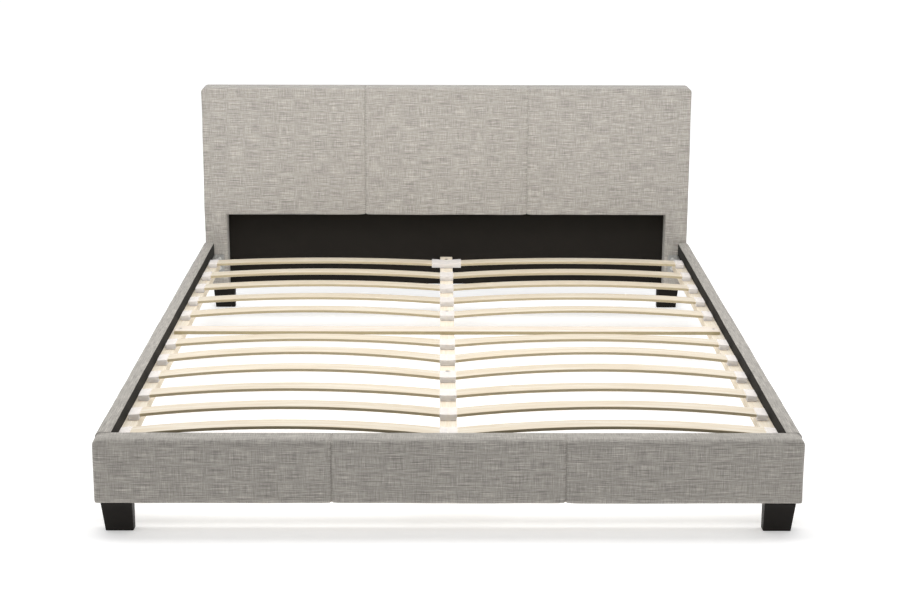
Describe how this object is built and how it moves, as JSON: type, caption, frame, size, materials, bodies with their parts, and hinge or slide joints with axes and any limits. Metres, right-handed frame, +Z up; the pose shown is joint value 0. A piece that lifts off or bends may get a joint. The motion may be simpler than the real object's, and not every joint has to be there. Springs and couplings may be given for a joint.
{
  "type": "upholstered headboard bed",
  "caption": "Low upholstered bed frame with a padded headboard, padded side rails and footboard around a sprung slat base with a centre beam.",
  "frame": {"origin": "on the floor, midway between the two long sides and midway between the footboard's front and the headboard's back", "axes": "+Y from the foot to the headboard, +X to the right of someone standing at the foot and facing the headboard, +Z up"},
  "size_m": [1.624, 2.18, 0.745],
  "materials": {
    "upholstery_fabric": "matte woven linen-look polyester, light warm grey",
    "black_cloth": "matte black non-woven lining",
    "foam": "soft polyurethane foam",
    "hardboard": "smooth pressed fibre sheet",
    "frame_timber": "rough-sawn softwood and chipboard",
    "ledge_timber": "planed softwood batten",
    "slat_plywood": "clear sealed bent birch plywood",
    "bar_plywood": "clear sealed flat plywood",
    "holder_plastic": "milky translucent moulded plastic",
    "beam_timber": "planed softwood",
    "leveller_plastic": "black moulded plastic pad and threaded stud",
    "zinc_steel": "zinc-plated pressed steel",
    "bright_screw": "bright zinc plate",
    "black_bolt": "blackened socket-head bolt",
    "foot_black": "black moulded plastic, satin"
  },
  "bodies": {
    "bed_frame": {"bracket_bolts": "bright_screw", "centre_beam": "beam_timber", "centre_slat_holders": "holder_plastic", "corner_brackets": "zinc_steel", "cross_bar": "bar_plywood", "foot_beam_bracket": "zinc_steel", "foot_end_centre_leg": "beam_timber", "footboard_core": "frame_timber", "footboard_cover": "upholstery_fabric", "footboard_lining": "black_cloth", "frame_bolts": "black_bolt", "head_beam_bracket": "zinc_steel", "head_end_centre_leg": "beam_timber", "headboard_back_lining": "black_cloth", "headboard_black_panel": "black_cloth", "headboard_cover": "upholstery_fabric", "headboard_cross_rails": "frame_timber", "headboard_foam": "foam", "headboard_front_board": "hardboard", "left_front_foot": "foot_black", "left_headboard_post": "frame_timber", "left_rail_core": "frame_timber", "left_rail_cover": "upholstery_fabric", "left_rail_lining": "black_cloth", "left_rear_foot": "foot_black", "left_slat_01": "slat_plywood", "left_slat_02": "slat_plywood", "left_slat_03": "slat_plywood", "left_slat_04": "slat_plywood", "left_slat_05": "slat_plywood", "left_slat_06": "slat_plywood", "left_slat_07": "slat_plywood", "left_slat_08": "slat_plywood", "left_slat_09": "slat_plywood", "left_slat_10": "slat_plywood", "left_slat_11": "slat_plywood", "left_slat_holders": "holder_plastic", "left_slat_ledge": "ledge_timber", "right_front_foot": "foot_black", "right_headboard_post": "frame_timber", "right_rail_core": "frame_timber", "right_rail_cover": "upholstery_fabric", "right_rail_lining": "black_cloth", "right_rear_foot": "foot_black", "right_slat_01": "slat_plywood", "right_slat_02": "slat_plywood", "right_slat_03": "slat_plywood", "right_slat_04": "slat_plywood", "right_slat_05": "slat_plywood", "right_slat_06": "slat_plywood", "right_slat_07": "slat_plywood", "right_slat_08": "slat_plywood", "right_slat_09": "slat_plywood", "right_slat_10": "slat_plywood", "right_slat_11": "slat_plywood", "right_slat_holders": "holder_plastic", "right_slat_ledge": "ledge_timber", "wood_screws": "bright_screw"},
    "foot_end_leveller": {"foot_end_levelling_foot": "leveller_plastic"},
    "head_end_leveller": {"head_end_levelling_foot": "leveller_plastic"}
  },
  "joints": [
    {"name": "foot_end_level_adjust", "type": "slide", "parent": "bed_frame", "child": "foot_end_leveller", "axis": [0, 0, 1], "range_m": [0, 0.01]},
    {"name": "head_end_level_adjust", "type": "slide", "parent": "bed_frame", "child": "head_end_leveller", "axis": [0, 0, 1], "range_m": [0, 0.01]}
  ]
}
